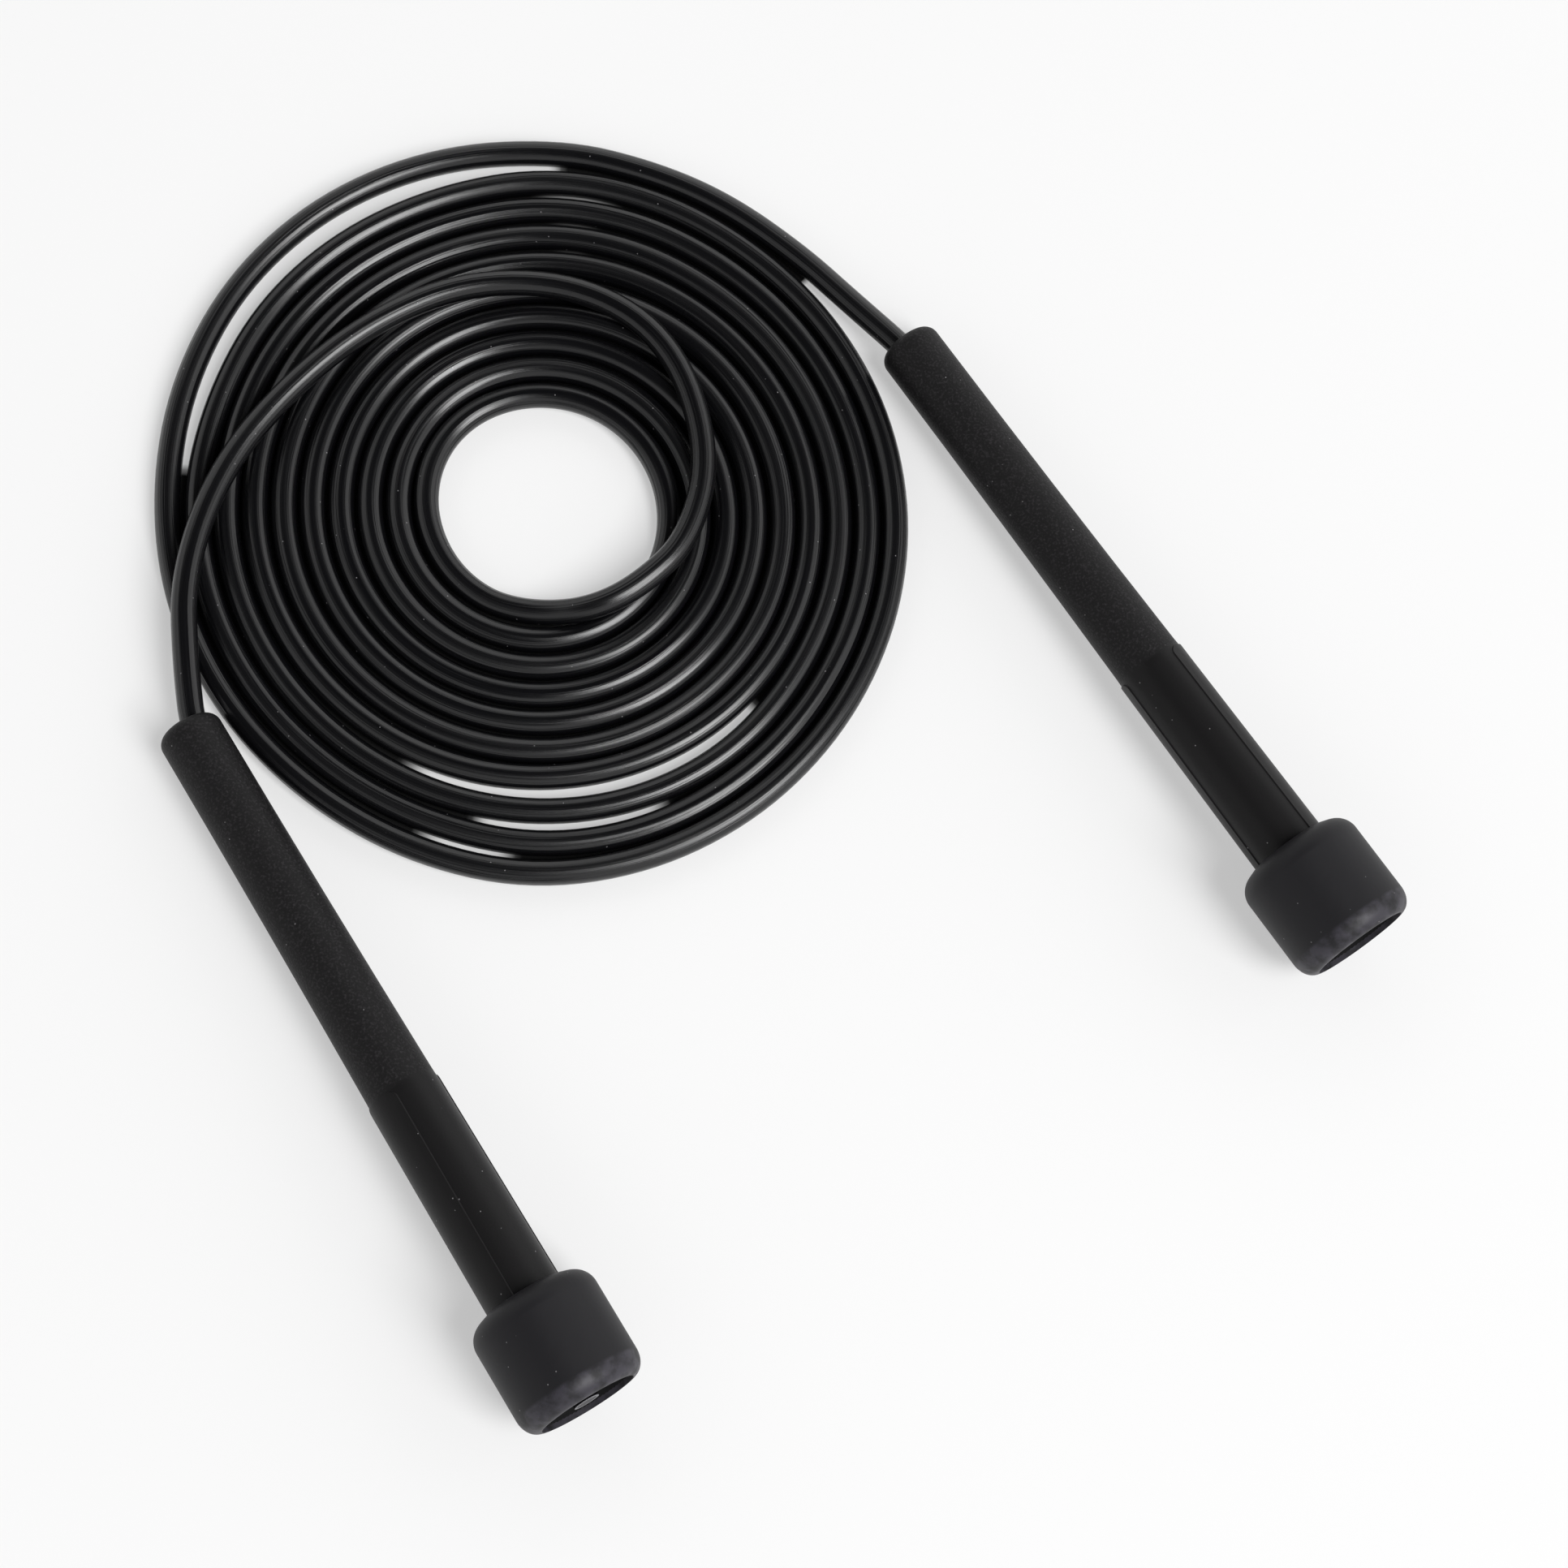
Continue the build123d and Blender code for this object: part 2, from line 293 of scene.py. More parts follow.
def tube(name, line, distance, radius, around):
    """Closed tube: point = centre + radius x (cos a x side + sin a x other), capped at both ends."""
    side, other = carried_frames(line)
    angle = np.linspace(0, 2 * np.pi, around, endpoint=False)
    cos, sin = np.cos(angle)[None, :, None], np.sin(angle)[None, :, None]
    ring = cos * side[:, None] + sin * other[:, None]
    points = (line[:, None] + radius * ring).reshape(-1, 3)
    i, j = np.meshgrid(np.arange(len(line) - 1), np.arange(around), indexing="ij")
    k = (j + 1) % around
    here, ahead = i * around, (i + 1) * around
    quads = np.stack([here + j, here + k, ahead + k, ahead + j], -1).reshape(-1, 4)
    caps = [list(range(around))[::-1], list(range(len(points) - around, len(points)))]
    mesh = bpy.data.meshes.new(name)
    mesh.from_pydata(points, [], [*quads.tolist(), *caps])
    u = np.stack([j, j + 1, j + 1, j], -1) / around
    v = distance[np.stack([i, i, i + 1, i + 1], -1)]
    uv = np.stack([u, v], -1).reshape(-1, 2)
    uv = np.concatenate([uv, np.zeros((2 * around, 2))])
    mesh.uv_layers.new(name="UVMap").data.foreach_set("uv", uv.ravel())
    mesh.polygons.foreach_set("use_smooth", np.ones(len(mesh.polygons), bool))
    mesh.update()
    made = bpy.data.objects.new(name, mesh)
    bpy.context.scene.collection.objects.link(made)
    return made


SIDES = 20  # of the profile
rope = tube("rope", centreline, along, RADIUS, SIDES)
print("rope faces", len(rope.data.polygons))

# %% [markdown]
# ## Helpers for the materials
# A node tree built in code soon fills with lines that only make nodes, set values and link them.
# One helper does all three. Colours are written as sRGB hex, as a paint chart has them, and Blender
# works in linear light, so one function turns the first into the second.

# %% Helpers
def linear(hex_colour):
    """sRGB hex to linear RGBA: c / 12.92 near black, and ((c + 0.055) / 1.055) ^ 2.4 above it."""
    share = np.array([int(hex_colour[i : i + 2], 16) for i in (1, 3, 5)]) / 255
    value = np.where(share <= 0.04045, share / 12.92, ((share + 0.055) / 1.055) ** 2.4)
    return (*value, 1.0)


def add_node(owner, kind, settings=None, **inputs):
    """Adds a node, sets its properties, and gives its inputs values or other nodes' outputs.

    An input goes by its name, with _ for a space, or by its number after _, as in _0, where
    several inputs share a name. A colour Mix node has its factor at _0 and its colours at _6, _7."""
    tree = owner.node_tree
    node = tree.nodes.new(kind)
    for key, value in (settings or {}).items():
        setattr(node, key, value)
    for key, value in inputs.items():
        numbered = key[1:].isdigit()
        socket = node.inputs[int(key[1:]) if numbered else key.replace("_", " ")]
        if isinstance(value, bpy.types.NodeSocket):
            tree.links.new(value, socket)
        else:
            socket.default_value = value
    return node


def new_material(name, colour, roughness, ior=1.5, specular=0.5):
    """A Principled surface with a plain colour, roughness, IOR and specular level."""
    material = bpy.data.materials.new(name)
    material.use_nodes = True
    shader = material.node_tree.nodes["Principled BSDF"]
    shader.inputs["Base Color"].default_value = linear(colour)
    shader.inputs["Roughness"].default_value = roughness
    shader.inputs["IOR"].default_value = ior
    shader.inputs["Specular IOR Level"].default_value = specular
    return material, shader


def plug_in(material, shader, **outputs):
    """Links nodes' outputs to the shader's inputs of the same names."""
    for name, output in outputs.items():
        material.node_tree.links.new(output, shader.inputs[name.replace("_", " ")])


MIX_COLOURS = {"data_type": "RGBA"}  # makes a Mix node mix colours
SMOOTH = {"interpolation_type": "SMOOTHSTEP"}  # makes a Map Range node ease in and out
TIMES, OVER_LIMIT, UNDER_LIMIT = (  # tell a Math node what to do
    {"operation": name} for name in ("MULTIPLY", "GREATER_THAN", "LESS_THAN")
)
print("mid grey #808080 is", round(float(linear("#808080")[0]), 3), "in linear light")

# %% [markdown]
# ## Places on a handle
# The finish of a handle changes along it: grained on the slim part, satin on the barrel, rubbed at
# the knob's lip. Weights painted on the mesh could say where, but the CAD meshes stay untouched,
# and a measured place is exact. So the material turns a point's Object coordinates into the
# handle's own, with Z running from nose to knob, and measures how far out from the axis it lies.

# %% Places on a handle
def handle_space(material, side):
    """Place of a point, its station along a handle's axis, and its distance from that axis.

    The Mapping node undoes the handle's own turn and shift: own = turned back (place - nose)."""
    nose, axis = handle_axis(side)
    turn = Vector(axis).to_track_quat("Z", "Y").to_euler()
    place = add_node(material, "ShaderNodeTexCoord").outputs["Object"]
    undo = {"vector_type": "TEXTURE"}
    own = add_node(material, "ShaderNodeMapping", undo, Vector=place, Location=nose, Rotation=turn)
    flat = add_node(material, "ShaderNodeVectorMath", TIMES, _0=own.outputs[0], _1=(1.0, 1.0, 0.0))
    out = add_node(material, "ShaderNodeVectorMath", {"operation": "LENGTH"}, _0=flat.outputs[0])
    station = add_node(material, "ShaderNodeSeparateXYZ", _0=own.outputs[0])
    return place, station.outputs["Z"], out.outputs["Value"]


def last_station(side, name):
    """How far along a handle's axis, from its nose, a piece reaches."""
    nose, axis = handle_axis(side)
    mesh = nodes[f"{side}_{name}"].data
    points = np.empty(len(mesh.vertices) * 3)
    mesh.vertices.foreach_get("co", points)
    return float(((points.reshape(-1, 3) - nose) @ axis).max())


KNOB_END = last_station("left", "knob")
print("handle length", round(KNOB_END / MM, 1), "mm")

# %% [markdown]
# ## Dust
# Black plastic shows every speck. A speck is where the middle of a Voronoi cell lies so near the
# surface that the surface cuts a tiny ball about it. That gives round specks of even size, far
# apart. Loose geometry for each speck would be heavy, and a noise with a high threshold gives
# blotches of every size.

# %% Dust
DUST_SPACING = 3.0 * MM
DUST_RADIUS = 0.15 * MM
DUST_CORE = 0.4  # share of that radius inside which a speck is at its palest
DUST_COVER = 0.8  # how much of the colour below it a speck hides
DUST_GREY = "#8c8a8c"


def dusted(material, place, colour):
    """Mixes pale specks into a colour: balls about random points, cut by the surface."""
    cells = add_node(material, "ShaderNodeTexVoronoi", Vector=place, Scale=1 / DUST_SPACING)
    size = DUST_RADIUS / DUST_SPACING
    ball = {"From_Min": size, "From_Max": DUST_CORE * size, "To_Max": DUST_COVER}
    speck = add_node(material, "ShaderNodeMapRange", Value=cells.outputs["Distance"], **ball)
    shades = {"_6": colour, "_7": linear(DUST_GREY)}
    return add_node(material, "ShaderNodeMix", MIX_COLOURS, _0=speck.outputs[0], **shades).outputs[2]


print("dust: balls of", DUST_RADIUS / MM, "mm, about", DUST_SPACING / MM, "mm apart")

# %% [markdown]
# ## The cord: extruded PVC
# The cord is soft PVC, pushed hot through a steel die. That gives it a wet-looking gloss, and faint
# lines along it from the die, which break each highlight into streaks. The lines are a noise that
# the UV map stretches: many cells round the cord, few along it. The same noise in plain space would
# give blotches that cut across the turns. Rubbed lines are duller, so it also moves the roughness.

# %% PVC cord
CORD_BLACK, CORD_ROUGHNESS, PVC_IOR = "#08080a", 0.22, 1.53
DIE_LINE = 0.8 * MM  # spacing of the die lines, drawn coarser than life so that they show
STREAK = 125 * MM  # how far one line runs before it fades
LINE_RELIEF, LINE_DEPTH = 0.6, 0.3 * MM  # strength and depth of the bump
RUB_FROM, RUB_FULL = 0.35, 0.65  # values of the noise between which the rubbing sets in
GLOSSIEST, DULLEST = 0.17, 0.31  # roughness of an untouched line and of a rubbed one


def pvc_cord():
    """Soft PVC, extruded: glossy, with lengthwise lines from the die that break up a highlight."""
    name = "PVC extruded glossy black"
    material, shader = new_material(name, CORD_BLACK, CORD_ROUGHNESS, PVC_IOR)
    uv = add_node(material, "ShaderNodeUVMap").outputs[0]
    stretch = (np.pi * DIAMETER / DIE_LINE, 1 / STREAK, 1.0)
    lines = add_node(material, "ShaderNodeMapping", Vector=uv, Scale=stretch).outputs[0]
    noise = add_node(material, "ShaderNodeTexNoise", Vector=lines, Scale=1.0, Detail=4.0).outputs[0]
    relief = {"Strength": LINE_RELIEF, "Distance": LINE_DEPTH}
    bump = add_node(material, "ShaderNodeBump", Height=noise, **relief)
    rub_and_sheen = {"From_Min": RUB_FROM, "From_Max": RUB_FULL, "To_Min": GLOSSIEST, "To_Max": DULLEST}
    rub = add_node(material, "ShaderNodeMapRange", Value=noise, **rub_and_sheen)
    place = add_node(material, "ShaderNodeTexCoord").outputs["Object"]
    colour = dusted(material, place, linear(CORD_BLACK))
    plug_in(material, shader, Base_Color=colour, Roughness=rub.outputs[0], Normal=bump.outputs[0])
    return material


print("die lines round the cord:", round(np.pi * DIAMETER / DIE_LINE))

# %% [markdown]
# ## The cord's cut end
# The cord ends inside the handles, and in the left knob its cut face shows. A knife leaves PVC
# matte and greyer than its skin, and the face is drawn paler towards its rim. A separate disc could
# carry this, but it would have to be fitted to the tail. The face is simply the last tenth of a
# millimetre of the tail, so the material finds it by its station on the handle.

# %% PVC cut end
CUT_ROUGHNESS = 0.75
CUT_FACE, CUT_EDGE = "#2f2e31", "#7d7c80"
RIM_FROM, RIM_FULL = 1.85 * MM, 2.25 * MM  # radii between which the face pales to its rim
CUT_DEPTH = 0.1 * MM
KNIFE_TOOTH = 0.4 * MM  # size of the tears that the knife leaves
TEAR_RELIEF, TEAR_DEPTH = 0.3, 0.1 * MM


def pvc_tail(side):
    """The cord inside a handle: the same PVC, with a matte grey face where it was cut."""
    material, shader = new_material(f"PVC cut end {side}", CORD_BLACK, CORD_ROUGHNESS, PVC_IOR)
    place, station, out = handle_space(material, side)
    cut_from = last_station(side, "rope_tail") - CUT_DEPTH
    cut = add_node(material, "ShaderNodeMath", OVER_LIMIT, _0=station, _1=cut_from).outputs[0]
    rise = {"From_Min": RIM_FROM, "From_Max": RIM_FULL}
    rim = add_node(material, "ShaderNodeMapRange", SMOOTH, Value=out, **rise).outputs[0]
    greys = {"_6": linear(CUT_FACE), "_7": linear(CUT_EDGE)}
    face = add_node(material, "ShaderNodeMix", MIX_COLOURS, _0=rim, **greys).outputs[2]
    skin = linear(CORD_BLACK)
    colour = add_node(material, "ShaderNodeMix", MIX_COLOURS, _0=cut, _6=skin, _7=face).outputs[2]
    shine = {"To_Min": CORD_ROUGHNESS, "To_Max": CUT_ROUGHNESS}
    rough = add_node(material, "ShaderNodeMapRange", Value=cut, **shine)
    tears = add_node(material, "ShaderNodeTexNoise", Vector=place, Scale=1 / KNIFE_TOOTH).outputs[0]
    relief = {"Strength": TEAR_RELIEF, "Distance": TEAR_DEPTH}
    bump = add_node(material, "ShaderNodeBump", Height=tears, **relief)
    plug_in(material, shader, Base_Color=colour, Roughness=rough.outputs[0], Normal=bump.outputs[0])
    return material


for side in ("left", "right"):
    recess = KNOB_END - last_station(side, "rope_tail")
    print(side, "tail ends", round(recess / MM, 1), "mm inside")

# %% [markdown]
# ## The grip: moulded polypropylene
# The grip is PP, a slightly waxy plastic, moulded in one shot. The slim part of its mould is spark
# eroded, which leaves the plastic a grain of fine peaks that fingers don't slip on, and hands wear
# the peaks paler. The barrel is smoother, a satin. The grain could be real displacement, but at
# half a millimetre a bump from noise looks the same at no cost. A grained face sends back about
# half the gloss of a polished one, so the specular level is half the usual 0.5.

# %% Polypropylene grip
BARREL_START = 82.3 * MM  # the slim part of the grip ends here
GRAIN_FADE = 1.0 * MM  # and its grain fades out over this much of it
SPARK_GRAIN, GRAIN_DEPTH = 0.45 * MM, 0.12 * MM
PEAK_FROM, PEAK_FULL = 0.50, 0.72  # values of the noise between which a peak is worn pale
GRIP_VALLEY, GRIP_PEAK = "#0c0b0c", "#252325"
SLIM_ROUGHNESS, BARREL_ROUGHNESS = 0.56, 0.46
SLIM_RELIEF, BARREL_RELIEF = 0.7, 0.15  # strength of the bump
PP_IOR, GRIP_SPECULAR = 1.5, 0.24


def grip_plastic(side):
    """Polypropylene: a spark-eroded grain on the slim part, and satin on the barrel."""
    name = f"PP moulded black {side}"
    material, shader = new_material(name, GRIP_VALLEY, SLIM_ROUGHNESS, PP_IOR, GRIP_SPECULAR)
    place, station, _ = handle_space(material, side)
    fade = {"From_Min": BARREL_START, "From_Max": BARREL_START - GRAIN_FADE}
    slim = add_node(material, "ShaderNodeMapRange", Value=station, **fade).outputs[0]
    fine = {"Scale": 1 / SPARK_GRAIN, "Detail": 2.0}
    grain = add_node(material, "ShaderNodeTexNoise", Vector=place, **fine).outputs[0]
    tops = {"From_Min": PEAK_FROM, "From_Max": PEAK_FULL}
    peaks = add_node(material, "ShaderNodeMapRange", Value=grain, **tops).outputs[0]
    worn = add_node(material, "ShaderNodeMath", TIMES, _0=peaks, _1=slim).outputs[0]
    blacks = {"_6": linear(GRIP_VALLEY), "_7": linear(GRIP_PEAK)}
    colour = add_node(material, "ShaderNodeMix", MIX_COLOURS, _0=worn, **blacks).outputs[2]
    shine = {"To_Min": BARREL_ROUGHNESS, "To_Max": SLIM_ROUGHNESS}
    rough = add_node(material, "ShaderNodeMapRange", Value=slim, **shine)
    strengths = {"To_Min": BARREL_RELIEF, "To_Max": SLIM_RELIEF}
    strength = add_node(material, "ShaderNodeMapRange", Value=slim, **strengths)
    relief = {"Strength": strength.outputs[0], "Distance": GRAIN_DEPTH}
    bump = add_node(material, "ShaderNodeBump", Height=grain, **relief)
    colour = dusted(material, place, colour)
    plug_in(material, shader, Base_Color=colour, Roughness=rough.outputs[0], Normal=bump.outputs[0])
    return material


print("slim part", round(BARREL_START / MM, 1), "mm long, grain", SPARK_GRAIN / MM, "mm")

# %% [markdown]
# ## The knob: moulded rubber
# The knob is thermoplastic rubber (TPR), soft enough to be stretched over the grip's end. It comes
# out of a blasted mould, so its body is matte, a black with a touch of violet. Fingers and floors
# rub its rounded lip to a patchy satin, and the lip's colour is painted paler in the same patches as
# a painted sheen. Its deep mouth is painted near black as painted shade. All three zones are one
# material with measured borders, because three materials would need the CAD mesh to be split.

# %% Knob rubber
# Towards the knob's end the lip is rubbed to satin and painted paler in patches as a painted sheen;
# the mouth is painted near black as painted shade.
LIP_LENGTH = 4.2 * MM
LIP_FADE = 0.8 * MM  # the rubbing sets in over this much of the lip
MOUTH_RADIUS, MOUTH_DEPTH = 9.45 * MM, 12.0 * MM  # its wall, and a little past its floor
RUB_SHEEN_PATCH, PATCH_DEPTH, PATCH_RELIEF = 2.4 * MM, 0.2 * MM, 0.2
PATCH_FROM, PATCH_FULL = 0.35, 0.60  # values of the noise between which a patch is rubbed
KNOB_SKIN, KNOB_RUBBED_SHEEN, KNOB_MOUTH_SHADE = "#100f13", "#2f2d34", "#030304"
SKIN_ROUGHNESS, RUBBED_ROUGHNESS, MOUTH_ROUGHNESS = 0.54, 0.46, 0.85
TPR_IOR, KNOB_SPECULAR = 1.5, 0.32


def rubbed_lip_and_sheen(material, place, station):
    """How rubbed a place on the knob is, from 0 to 1, which also sets its painted sheen, and the
    patches' own noise.
    """
    lip_start = KNOB_END - LIP_LENGTH
    edge = {"From_Min": lip_start, "From_Max": lip_start + LIP_FADE}
    lip = add_node(material, "ShaderNodeMapRange", SMOOTH, Value=station, **edge).outputs[0]
    coarse = {"Scale": 1 / RUB_SHEEN_PATCH, "Detail": 4.0}
    patches = add_node(material, "ShaderNodeTexNoise", Vector=place, **coarse).outputs[0]
    uneven = {"From_Min": PATCH_FROM, "From_Max": PATCH_FULL}
    patchy = add_node(material, "ShaderNodeMapRange", Value=patches, **uneven).outputs[0]
    return add_node(material, "ShaderNodeMath", TIMES, _0=lip, _1=patchy).outputs[0], patches


def in_the_mouth(material, station, out):
    """1 inside the knob's open end, where the colour is painted dark as shade, and 0 elsewhere."""
    deep = {"_0": station, "_1": KNOB_END - MOUTH_DEPTH}
    past_floor = add_node(material, "ShaderNodeMath", OVER_LIMIT, **deep).outputs[0]
    inside = add_node(material, "ShaderNodeMath", UNDER_LIMIT, _0=out, _1=MOUTH_RADIUS).outputs[0]
    return add_node(material, "ShaderNodeMath", TIMES, _0=past_floor, _1=inside).outputs[0]


def knob_rubber(side):
    """Thermoplastic rubber: a matte body, a lip rubbed to satin with a painted sheen, a mouth
    painted dark as shade.
    """
    name = f"TPR moulded matte black {side}"
    material, shader = new_material(name, KNOB_SKIN, SKIN_ROUGHNESS, TPR_IOR, KNOB_SPECULAR)
    place, station, out = handle_space(material, side)
    rub_and_sheen, patches = rubbed_lip_and_sheen(material, place, station)
    mouth = in_the_mouth(material, station, out)
    # The lip is painted paler where it is rubbed: a painted sheen.
    blacks = {"_6": linear(KNOB_SKIN), "_7": linear(KNOB_RUBBED_SHEEN)}
    skin = add_node(material, "ShaderNodeMix", MIX_COLOURS, _0=rub_and_sheen, **blacks).outputs[2]
    # Inside the mouth the colour is painted near black: painted shade.
    shades = {"_6": dusted(material, place, skin), "_7": linear(KNOB_MOUTH_SHADE)}
    colour = add_node(material, "ShaderNodeMix", MIX_COLOURS, _0=mouth, **shades).outputs[2]
    shine = {"To_Min": SKIN_ROUGHNESS, "To_Max": RUBBED_ROUGHNESS}
    outside = add_node(material, "ShaderNodeMapRange", Value=rub_and_sheen, **shine).outputs[0]
    rough = add_node(material, "ShaderNodeMix", _0=mouth, _2=outside, _3=MOUTH_ROUGHNESS)
    relief = {"Strength": PATCH_RELIEF, "Distance": PATCH_DEPTH}
    bump = add_node(material, "ShaderNodeBump", Height=patches, **relief)
    plug_in(material, shader, Base_Color=colour, Roughness=rough.outputs[0], Normal=bump.outputs[0])
    return material


print("rubbed lip", LIP_LENGTH / MM, "mm, mouth", round(2 * MOUTH_RADIUS / MM, 1), "mm across")

# %% [markdown]
# ## Stop collars and washers: nylon
# Inside each grip, a ribbed collar grips the cord and keeps the handle on it, and a thin washer
# takes the rub between the two. Both are nylon (PA6), which slides well and wears slowly: the
# collar is dyed black, and the washer has nylon's natural off-white. They sit far inside the bore,
# where hardly any light reaches, so a slightly cloudy colour with a fine tooth is enough.

# %% Nylon
NYLON_IOR = 1.53
NYLON_CLOUD = 1.4 * MM
TOOTH_RELIEF, TOOTH_DEPTH = 0.2, 0.1 * MM
DYED_BLACK = ("#0d0d0e", "#19191a", 0.45)  # two shades of the cloud, and the roughness
NATURAL = ("#b9b5aa", "#cdc9bf", 0.40)


def nylon(name, low, high, roughness):
    """Moulded nylon: slightly cloudy, with a fine tooth."""
    material, shader = new_material(name, low, roughness, NYLON_IOR)
    place = add_node(material, "ShaderNodeTexCoord").outputs["Object"]
    soft = {"Scale": 1 / NYLON_CLOUD, "Detail": 3.0}
    cloud = add_node(material, "ShaderNodeTexNoise", Vector=place, **soft).outputs[0]
    shades = {"_6": linear(low), "_7": linear(high)}
    colour = add_node(material, "ShaderNodeMix", MIX_COLOURS, _0=cloud, **shades).outputs[2]
    relief = {"Strength": TOOTH_RELIEF, "Distance": TOOTH_DEPTH}
    bump = add_node(material, "ShaderNodeBump", Height=cloud, **relief)
    plug_in(material, shader, Base_Color=colour, Normal=bump.outputs[0])
    return material


black_nylon = nylon("PA6 moulded black", *DYED_BLACK)
white_nylon = nylon("PA6 natural", *NATURAL)
print("made", black_nylon.name, "and", white_nylon.name)

# %% [markdown]
# ## Giving each piece its finish
# The CAD pieces arrive with plain materials. Their material slot is filled anew, and their meshes
# stay as they are. Grips, knobs and tails have one material for each side, because their patterns
# are measured from that side's own nose. Collars and washers have no such borders and share theirs.

# %% Put them on
def dress(piece, material):
    """Gives a piece one material."""
    piece.data.materials.clear()
    piece.data.materials.append(material)
    print(piece.name, "is", material.name)


dress(rope, pvc_cord())
for side in ("left", "right"):
    dress(nodes[f"{side}_rope_tail"], pvc_tail(side))
    dress(nodes[f"{side}_grip"], grip_plastic(side))
    dress(nodes[f"{side}_stop_collar"], black_nylon)
    dress(nodes[f"{side}_washer"], white_nylon)
    dress(nodes[f"{side}_knob"], knob_rubber(side))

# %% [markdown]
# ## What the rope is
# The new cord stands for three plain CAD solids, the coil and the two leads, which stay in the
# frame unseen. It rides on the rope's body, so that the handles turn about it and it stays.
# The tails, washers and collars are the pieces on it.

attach(rope, "rope")
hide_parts("rope_coil", "rope_left_lead", "rope_right_lead")

# %% [markdown]
# ## Light in the gaps
# Between turns that lie close, hardly any light reaches the floor, and where a turn stands out, the
# floor shows white. The floor below has some light of its own, which would shine up through every
# slit. An ambient occlusion node could dim it there, but it is noisy unless it is slow. The coil is
# a formula, so the width of the slit over each point of the floor is known, and that decides how far
# the floor's own light and its colour are dimmed there, as painted shade.

# %% Open and closed floor
SLIT, GAP = 0.90 * MM, 1.10 * MM  # closed below the first width, open above the second
EARLY, LATE = 0.10, 0.12  # turns over which the two leads still lie close along the coil
LEAD_SHIFT = RADIUS / 2  # how far outside the spiral's own line the left lead comes down


def floor_light(angle, radius):
    """Share of the floor's light at places round the coil, from 0 in a slit to 1 in a gap.

    Width = next turn's radius - this turn's radius - cord diameter, and share = 3 s^2 - 2 s^3,
    where s is how far the width lies from slit to gap. Outside the turns the share is 1. Where
    the left lead comes down, the slit beside it starts that lead's shift further out."""
    count = int(np.ceil(LAST_TURN)) + 1
    turns = np.arange(count)[:, None] + (START_ANGLE - np.degrees(angle)) % 360 / 360
    wound = (turns >= FIRST_TURN - EARLY) & (turns <= LAST_TURN + LATE)
    turn_radius = np.where(wound, coil_radius(turns), np.nan)
    start = turn_radius + np.where(turns < FIRST_TURN, LEAD_SHIFT, 0)
    width = np.diff(turn_radius, axis=0) - DIAMETER
    s = np.clip((width - SLIT) / (GAP - SLIT), 0, 1)
    share = np.ones((len(radius), len(angle)))
    for k in range(count - 1):
        between = (radius[:, None] >= start[k]) & (radius[:, None] < turn_radius[k + 1])
        share = np.where(between, 3 * s[k] ** 2 - 2 * s[k] ** 3, share)
    return share


print("the floor shows where turns stand more than", round(GAP / MM, 2), "mm apart")

# %% [markdown]
# ## A floor that follows the coil
# The light's share is stored on the floor's points, so the points have to be closer than the slits
# are wide, but only under the coil. The squares of a plain grid would cut across the turns and step
# along every slit. The rings of a polar grid about the coil's centre run along the turns, and one
# wide ring reaches from the last turn to the edge of the floor.

# %% Floor mesh
FLOOR_RADIUS = 4.0  # metres
HUB, COIL_EDGE = 0.1 * MM, 88 * MM  # the innermost ring, and the end of the close rings
RING_STEP, ANGLE_STEP = 0.5 * MM, 1.0  # the second one in degrees


def floor_disc():
    """Flat disc round the coil's centre on a polar grid: x = r cos a, y = r sin a, z = 0."""
    angle = np.radians(np.arange(0, 360, ANGLE_STEP))
    near = np.arange(FIRST_RADIUS, COIL_EDGE, RING_STEP)
    radius = np.concatenate([[HUB], near, [FLOOR_RADIUS]])
    r, a = np.meshgrid(radius, angle, indexing="ij")
    x = CENTRE[0] + r * np.cos(a)
    y = CENTRE[1] + r * np.sin(a)
    points = np.stack([x, y, np.zeros_like(x)], -1).reshape(-1, 3)
    i, j = np.meshgrid(np.arange(len(radius) - 1), np.arange(len(angle)), indexing="ij")
    k = (j + 1) % len(angle)
    rows = len(angle)
    quads = np.stack([i * rows + j, (i + 1) * rows + j, (i + 1) * rows + k, i * rows + k], -1)
    mesh = bpy.data.meshes.new("floor")
    mesh.from_pydata(points, [], [*quads.reshape(-1, 4).tolist(), list(range(rows))])
    light = mesh.attributes.new("light", "FLOAT", "POINT")
    light.data.foreach_set("value", floor_light(angle, radius).ravel())
    disc = bpy.data.objects.new("floor", mesh)
    bpy.context.scene.collection.objects.link(disc)
    return disc


floor = floor_disc()
print("floor faces", len(floor.data.polygons))

# %% [markdown]
# ## The floor's surface
# The floor is matte white paper. To show nearly white beside a black rope it would need strong
# lamps, and those would grey the rope. So the paper is a pale grey, and gets the rest as
# light of its own that only camera, glossy and transmission rays see. In the slits between close
# turns both its colour and that light are painted down to black, as painted shade. It lights
# nothing matte, shows in every reflection, and the shadow stays on it.

# %% Floor surface
FLOOR_GREY = "#b2b2b2"
FLOOR_GLOW = 0.41
PAPER_ROUGHNESS = 0.9


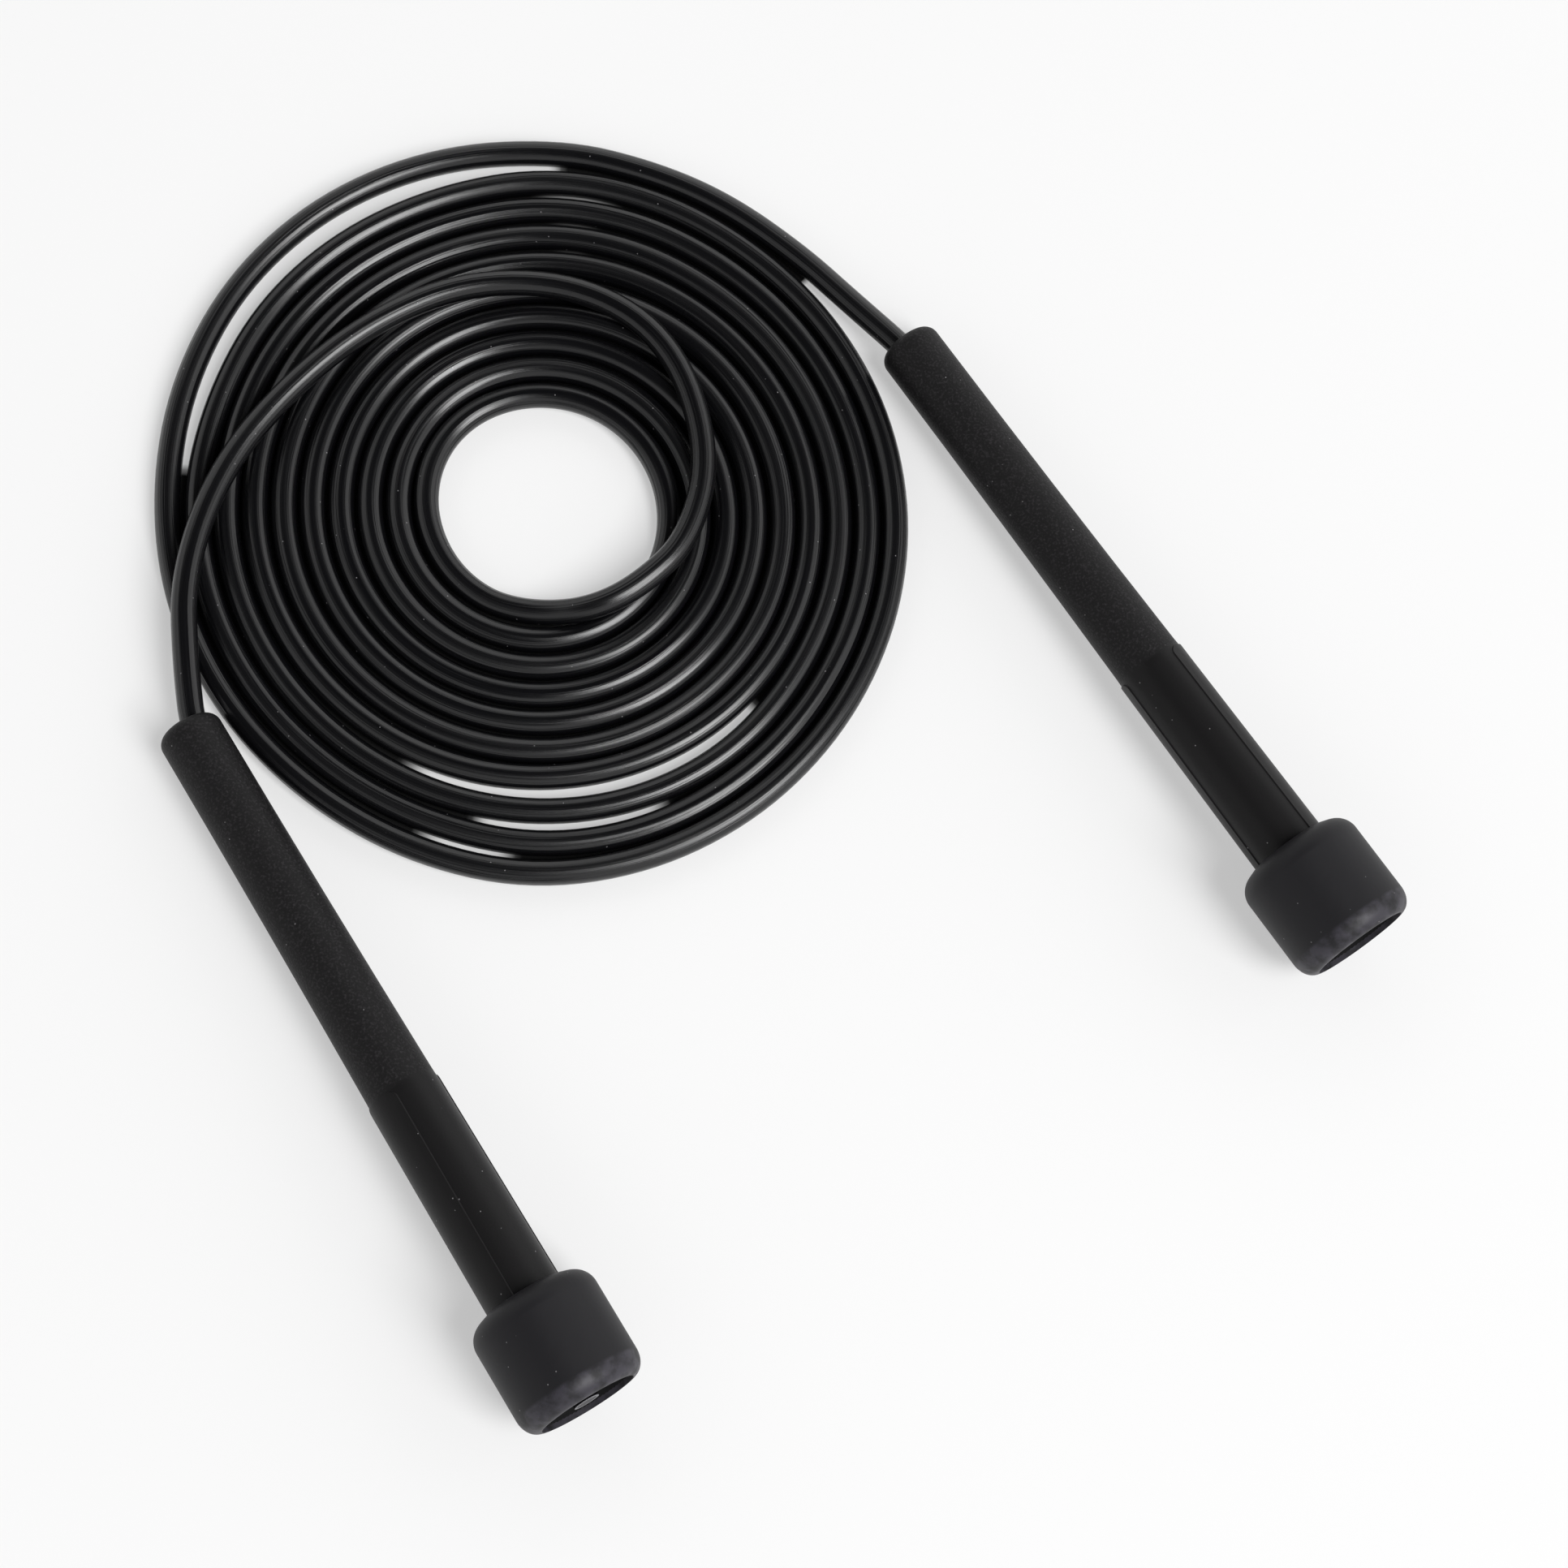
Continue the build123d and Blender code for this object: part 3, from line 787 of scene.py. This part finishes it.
def pale_floor():
    """Matte white sheet that glows a little for camera, glossy and transmission rays."""
    material, shader = new_material("paper matte white", FLOOR_GREY, PAPER_ROUGHNESS)
    light = add_node(material, "ShaderNodeAttribute", {"attribute_name": "light"}).outputs["Fac"]
    # Painted shade: the paper's colour goes to black in the slits, and its glow does the same below.
    shades = {"_6": linear("#000000"), "_7": linear(FLOOR_GREY)}
    colour = add_node(material, "ShaderNodeMix", MIX_COLOURS, _0=light, **shades).outputs[2]
    path = add_node(material, "ShaderNodeLightPath")
    seen = path.outputs["Is Camera Ray"]
    either = {"operation": "MAXIMUM"}
    for kind in ("Is Glossy Ray", "Is Transmission Ray"):
        rays = path.outputs[kind]
        seen = add_node(material, "ShaderNodeMath", either, _0=seen, _1=rays).outputs[0]
    for share in (light, FLOOR_GLOW):
        seen = add_node(material, "ShaderNodeMath", TIMES, _0=seen, _1=share).outputs[0]
    shader.inputs["Emission Color"].default_value = (1, 1, 1, 1)
    plug_in(material, shader, Base_Color=colour, Emission_Strength=seen)
    return material


dress(floor, pale_floor())

# %% [markdown]
# ## A white room with a dark ceiling
# Glossy black cord has hardly any colour of its own: what it shows is the room. Pale walls give its
# flanks a grey sheen, and a dark ceiling keeps the tops of the turns black. One side of the room is
# brighter, which makes the round forms read. Big lamps all round would do the same and cost render
# time, so a formula on the direction stands in for the room.

# %% World
BRIGHT_WALL, DIM_WALL, OVERHEAD = 1.25, 0.65, 0.03  # strengths, where 1 is white
BRIGHT_AROUND = 30.0  # direction of the brightest wall, in degrees from +X
WALL_TOP, CEILING = 0.62, 0.82  # sines of the heights where the walls end and the ceiling begins


def white_room():
    """Pale walls, brightest on one side, under a dark ceiling.

    Strength = dim to bright by the cosine of the angle to the bright side, then down to the
    ceiling's own strength as the direction nears the vertical."""
    world = bpy.data.worlds.new("studio")
    world.use_nodes = True
    direction = add_node(world, "ShaderNodeTexCoord").outputs["Generated"]
    around = np.radians(BRIGHT_AROUND)
    bright = (np.cos(around), np.sin(around), 0.0)
    dot = {"operation": "DOT_PRODUCT"}
    facing = add_node(world, "ShaderNodeVectorMath", dot, _0=direction, _1=bright).outputs["Value"]
    sides = {"From_Min": -1.0, "To_Min": DIM_WALL, "To_Max": BRIGHT_WALL}
    wall = add_node(world, "ShaderNodeMapRange", Value=facing, **sides).outputs[0]
    height = add_node(world, "ShaderNodeSeparateXYZ", _0=direction).outputs["Z"]
    fall = {"From_Min": WALL_TOP, "From_Max": CEILING, "To_Min": wall, "To_Max": OVERHEAD}
    strength = add_node(world, "ShaderNodeMapRange", SMOOTH, Value=height, **fall).outputs[0]
    background = world.node_tree.nodes["Background"]
    background.inputs["Color"].default_value = (1, 1, 1, 1)
    world.node_tree.links.new(strength, background.inputs["Strength"])
    return world


bpy.context.scene.world = white_room()
print("walls", DIM_WALL, "to", BRIGHT_WALL, "and ceiling", OVERHEAD)

# %% [markdown]
# ## The key light
# One large soft box stands to the right and near side, high up. Its mirror image is the bright
# streak on each turn: the box's size sets how far the streak runs, and its radiance how bright it
# is. So the lamp is set by radiance, and its power follows as radiance x pi x area, which keeps the
# streak's brightness when the box is made larger.

# %% Lamp
KEY_AROUND, KEY_HEIGHT = -37.0, 54.0  # direction of the key lamp, in degrees
KEY_DISTANCE = 4.0  # metres, as its sides are
KEY_WIDE, KEY_TALL = 1.65, 2.5
KEY_RADIANCE = 11.8  # the cord's gloss of 4.4 % shows the lamp at half of white


def softbox(name, around, height, distance, wide, tall, radiance):
    """Area light aimed at the rope: angles in degrees, lengths in metres, power from radiance."""
    lamp = bpy.data.lights.new(name, "AREA")
    lamp.shape = "RECTANGLE"
    lamp.size, lamp.size_y = wide, tall
    lamp.energy = radiance * np.pi * wide * tall
    holder = bpy.data.objects.new(name, lamp)
    bpy.context.scene.collection.objects.link(holder)
    turn, lift = np.radians(around), np.radians(height)
    towards = Vector((np.cos(turn) * np.cos(lift), np.sin(turn) * np.cos(lift), np.sin(lift)))
    holder.location = towards * distance
    holder.rotation_euler = towards.to_track_quat("Z", "Y").to_euler()
    return holder


key = softbox("key", KEY_AROUND, KEY_HEIGHT, KEY_DISTANCE, KEY_WIDE, KEY_TALL, KEY_RADIANCE)
print("key lamp", round(key.data.energy), "W at", [round(value, 2) for value in key.location])

# %% [markdown]
# ## The view transform
# The Standard view transform shows a colour as it was written. A filmic one would look softer, but
# it would lift the blacks that this rope is made of.

# %% Finish
bpy.context.scene.view_settings.view_transform = "Standard"
